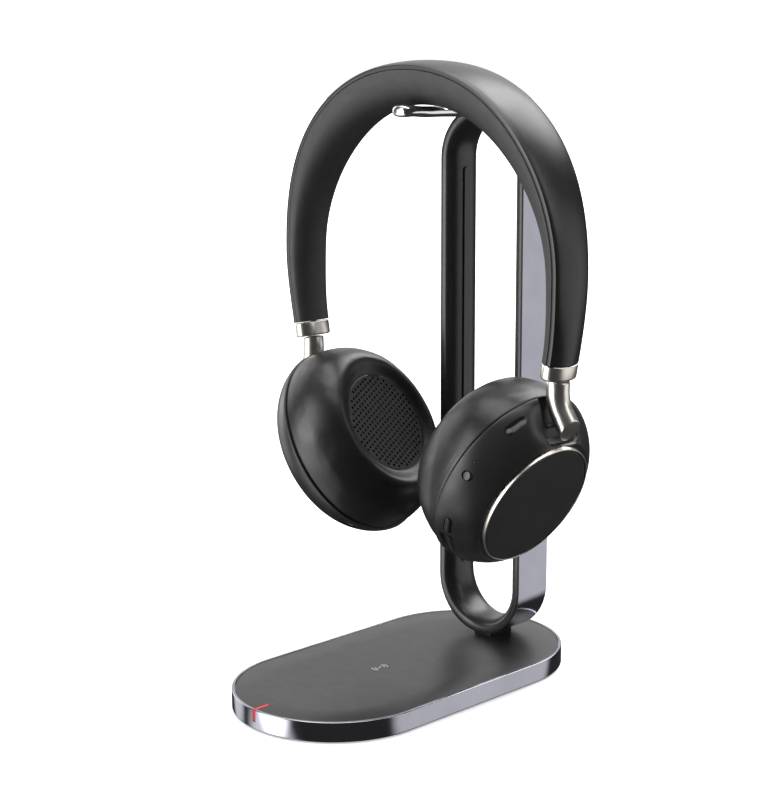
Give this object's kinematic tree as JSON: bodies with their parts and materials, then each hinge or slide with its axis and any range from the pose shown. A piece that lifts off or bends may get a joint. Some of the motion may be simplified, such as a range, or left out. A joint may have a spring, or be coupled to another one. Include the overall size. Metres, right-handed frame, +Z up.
{
  "type": "office headset with charging stand",
  "caption": "Over-ear office headset with leather ear pads, folding boom and slim arms, hanging from the hook of its looped charging stand with a flat phone pad",
  "frame": {"origin": "middle of the stand's underside, on the surface it rests on", "axes": "+X towards the wearer's right ear cup, -Y to the front where a phone lies on the pad, +Z up"},
  "size_m": [0.1568, 0.1588, 0.2546],
  "materials": {
    "gunmetal": "polished dark bluish metal",
    "black_satin": "fine satin black moulding",
    "black_gloss": "smooth black",
    "black_leather": "smooth black protein leather",
    "grey_leather": "fine grained dark grey leather",
    "nickel": "warm satin nickel plating",
    "chrome_plate": "polished",
    "steel": "plain steel",
    "foot_rubber": "matt black rubber",
    "copper_winding": "enamelled copper wire",
    "circuit_board": "green solder mask",
    "red_light": "lit red lens",
    "speaker_cloth": "perforated black cloth"
  },
  "bodies": {
    "stand": {"base_rim": "gunmetal", "top_pad": "black_satin", "foot_pad": "foot_rubber", "bottom_cover": "black_satin", "chassis_plate": "steel", "ballast_plate": "steel", "stand_circuit_board": "circuit_board", "ferrite_sheet": "foot_rubber", "charging_coil": "copper_winding", "stand_usb_socket": "steel", "status_light": "red_light", "bolt_front": "steel", "bolt_rear": "steel", "pedestal": "black_satin", "upright_band": "gunmetal", "upright_liner": "black_satin", "liner_strip_left": "black_gloss", "liner_strip_right": "black_gloss", "hook": "chrome_plate"},
    "headband": {"headband_cover": "black_satin", "headband_padding": "grey_leather", "headband_spring": "steel", "collar_left": "nickel", "collar_right": "nickel"},
    "slider_left": {"slider_shoe_left": "black_satin"},
    "arm_left": {"arm_tube_left": "nickel", "arm_stem_left": "steel"},
    "cup_left": {"cup_shell_left": "black_satin", "trim_ring_left": "nickel", "outer_cap_left": "black_satin", "baffle_left": "black_satin", "speaker_driver_left": "steel", "ear_cushion_left": "black_leather", "ear_screen_left": "speaker_cloth", "pivot_pin_left": "steel", "cup_usb_port": "steel", "indicator_left": "black_gloss", "battery": "steel"},
    "slider_right": {"slider_shoe_right": "black_satin"},
    "arm_right": {"arm_tube_right": "nickel", "arm_stem_right": "steel"},
    "cup_right": {"cup_shell_right": "black_satin", "trim_ring_right": "nickel", "outer_cap_right": "black_satin", "baffle_right": "black_satin", "speaker_driver_right": "steel", "ear_cushion_right": "black_leather", "ear_screen_right": "speaker_cloth", "pivot_pin_right": "steel", "indicator_right": "black_gloss", "cup_circuit_board": "circuit_board", "boom_pin": "steel"},
    "call_button": {"call_button": "black_gloss"},
    "mute_key": {"mute_key": "black_gloss"},
    "power_switch": {"power_switch": "black_gloss"},
    "mic_boom": {"mic_boom": "black_satin"}
  },
  "joints": [
    {"name": "headset_lift", "type": "slide", "parent": "stand", "child": "headband", "axis": [0, 0, 1], "range_m": [0, 0.06]},
    {"name": "arm_slide_left", "type": "slide", "parent": "headband", "child": "slider_left", "axis": [0.1045, 0, -0.9945], "range_m": [0, 0.015]},
    {"name": "arm_swivel_left", "type": "hinge", "parent": "slider_left", "child": "arm_left", "pos_m": [-0.06918, 0.0151, 0.14262], "axis": [0.1045, 0, -0.9945], "range_deg": [0, 90]},
    {"name": "cup_tilt_left", "type": "hinge", "parent": "arm_left", "child": "cup_left", "pos_m": [-0.07083, 0.0151, 0.11842], "axis": [0, 1, 0], "range_deg": [0, 30]},
    {"name": "arm_slide_right", "type": "slide", "parent": "headband", "child": "slider_right", "axis": [-0.1045, 0, -0.9945], "range_m": [0, 0.015]},
    {"name": "arm_swivel_right", "type": "hinge", "parent": "slider_right", "child": "arm_right", "pos_m": [0.06918, 0.0151, 0.14262], "axis": [0.1045, 0, 0.9945], "range_deg": [0, 90]},
    {"name": "cup_tilt_right", "type": "hinge", "parent": "arm_right", "child": "cup_right", "pos_m": [0.07083, 0.0151, 0.11842], "axis": [0, -1, 0], "range_deg": [0, 30]},
    {"name": "call_button_press", "type": "slide", "parent": "cup_right", "child": "call_button", "axis": [-0.0799, 0.9631, -0.2571], "range_m": [0, 0.0008], "stiffness_N_per_m": 200},
    {"name": "mute_key_press", "type": "slide", "parent": "cup_right", "child": "mute_key", "axis": [0.2305, 0.933, 0.2764], "range_m": [0, 0.0007], "stiffness_N_per_m": 200},
    {"name": "power_switch_slide", "type": "slide", "parent": "cup_right", "child": "power_switch", "axis": [0.3461, 0.7998, 0.4905], "range_m": [0, 0.0066]},
    {"name": "mic_boom_swing", "type": "hinge", "parent": "cup_right", "child": "mic_boom", "pos_m": [0.03034, 0.01623, 0.05755], "axis": [0.8611, -0.0632, -0.5045], "range_deg": [0, 100]}
  ]
}
